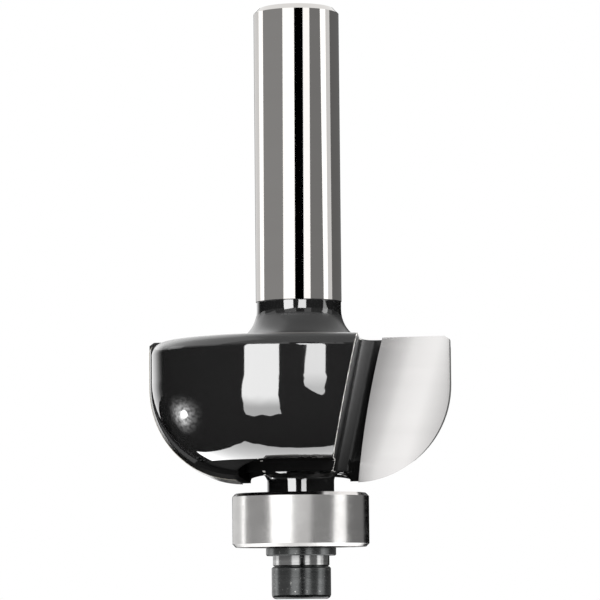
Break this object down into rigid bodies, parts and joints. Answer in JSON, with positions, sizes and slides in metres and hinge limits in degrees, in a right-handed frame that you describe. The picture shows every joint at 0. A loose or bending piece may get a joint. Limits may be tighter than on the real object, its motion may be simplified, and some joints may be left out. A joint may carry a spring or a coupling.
{
  "type": "cove router bit with ball bearing pilot",
  "caption": "Shanked cove cutter with a round body, brazed carbide tips and a ball bearing pilot held on by a cap screw.",
  "frame": {"origin": "on the tool axis at the foot of the shank, where the neck begins", "axes": "+Z along the tool axis towards the shank's free end; +X from the axis along the cutting face of tip 1, which looks towards -Y"},
  "size_m": [0.0286, 0.0274, 0.0552],
  "materials": {
    "coated_steel": "gloss black coating on the body, bare polished shank",
    "carbide": "ground",
    "silver_solder": "satin",
    "bearing_steel": "satin",
    "polished_steel": "polished",
    "pressed_steel": "satin",
    "spring_steel": "satin",
    "blackened_steel": "black oxide, satin"
  },
  "bodies": {
    "cutter": {"cutter_body": "coated_steel", "carbide_tip_1": "carbide", "carbide_tip_2": "carbide", "braze_seam_1": "silver_solder", "braze_seam_2": "silver_solder", "bearing_inner_ring": "bearing_steel", "flat_washer": "blackened_steel", "lock_washer": "blackened_steel", "pilot_screw": "blackened_steel"},
    "outer_race": {"bearing_outer_ring": "bearing_steel", "shield_upper": "pressed_steel", "shield_lower": "pressed_steel", "snap_ring_upper": "spring_steel", "snap_ring_lower": "spring_steel"},
    "cage": {"cage_upper": "pressed_steel", "cage_lower": "pressed_steel", "cage_rivets": "pressed_steel"},
    "ball_1": {"ball_1": "polished_steel"},
    "ball_2": {"ball_2": "polished_steel"},
    "ball_3": {"ball_3": "polished_steel"},
    "ball_4": {"ball_4": "polished_steel"},
    "ball_5": {"ball_5": "polished_steel"},
    "ball_6": {"ball_6": "polished_steel"},
    "ball_7": {"ball_7": "polished_steel"}
  },
  "joints": [
    {"name": "bearing_spin", "type": "hinge", "parent": "cutter", "child": "outer_race", "pos_m": [0, 0, -0.02031], "axis": [0, 0, 1], "continuous": true},
    {"name": "cage_orbit", "type": "hinge", "parent": "cutter", "child": "cage", "pos_m": [0, 0, -0.02031], "axis": [0, 0, 1], "continuous": true},
    {"name": "ball_1_spin", "type": "hinge", "parent": "cage", "child": "ball_1", "pos_m": [0.00436, 0, -0.02031], "axis": [0, 0, 1], "continuous": true},
    {"name": "ball_2_spin", "type": "hinge", "parent": "cage", "child": "ball_2", "pos_m": [0.00272, 0.00341, -0.02031], "axis": [0, 0, 1], "continuous": true},
    {"name": "ball_3_spin", "type": "hinge", "parent": "cage", "child": "ball_3", "pos_m": [-0.00097, 0.00426, -0.02031], "axis": [0, 0, 1], "continuous": true},
    {"name": "ball_4_spin", "type": "hinge", "parent": "cage", "child": "ball_4", "pos_m": [-0.00393, 0.00189, -0.02031], "axis": [0, 0, 1], "continuous": true},
    {"name": "ball_5_spin", "type": "hinge", "parent": "cage", "child": "ball_5", "pos_m": [-0.00393, -0.00189, -0.02031], "axis": [0, 0, 1], "continuous": true},
    {"name": "ball_6_spin", "type": "hinge", "parent": "cage", "child": "ball_6", "pos_m": [-0.00097, -0.00426, -0.02031], "axis": [0, 0, 1], "continuous": true},
    {"name": "ball_7_spin", "type": "hinge", "parent": "cage", "child": "ball_7", "pos_m": [0.00272, -0.00341, -0.02031], "axis": [0, 0, 1], "continuous": true}
  ],
  "couplings": [
    {"joint": "cage_orbit", "follows": "bearing_spin", "ratio": 0.63637},
    {"joint": "ball_1_spin", "follows": "bearing_spin", "ratio": 1.6969},
    {"joint": "ball_2_spin", "follows": "bearing_spin", "ratio": 1.6969},
    {"joint": "ball_3_spin", "follows": "bearing_spin", "ratio": 1.6969},
    {"joint": "ball_4_spin", "follows": "bearing_spin", "ratio": 1.6969},
    {"joint": "ball_5_spin", "follows": "bearing_spin", "ratio": 1.6969},
    {"joint": "ball_6_spin", "follows": "bearing_spin", "ratio": 1.6969},
    {"joint": "ball_7_spin", "follows": "bearing_spin", "ratio": 1.6969}
  ]
}
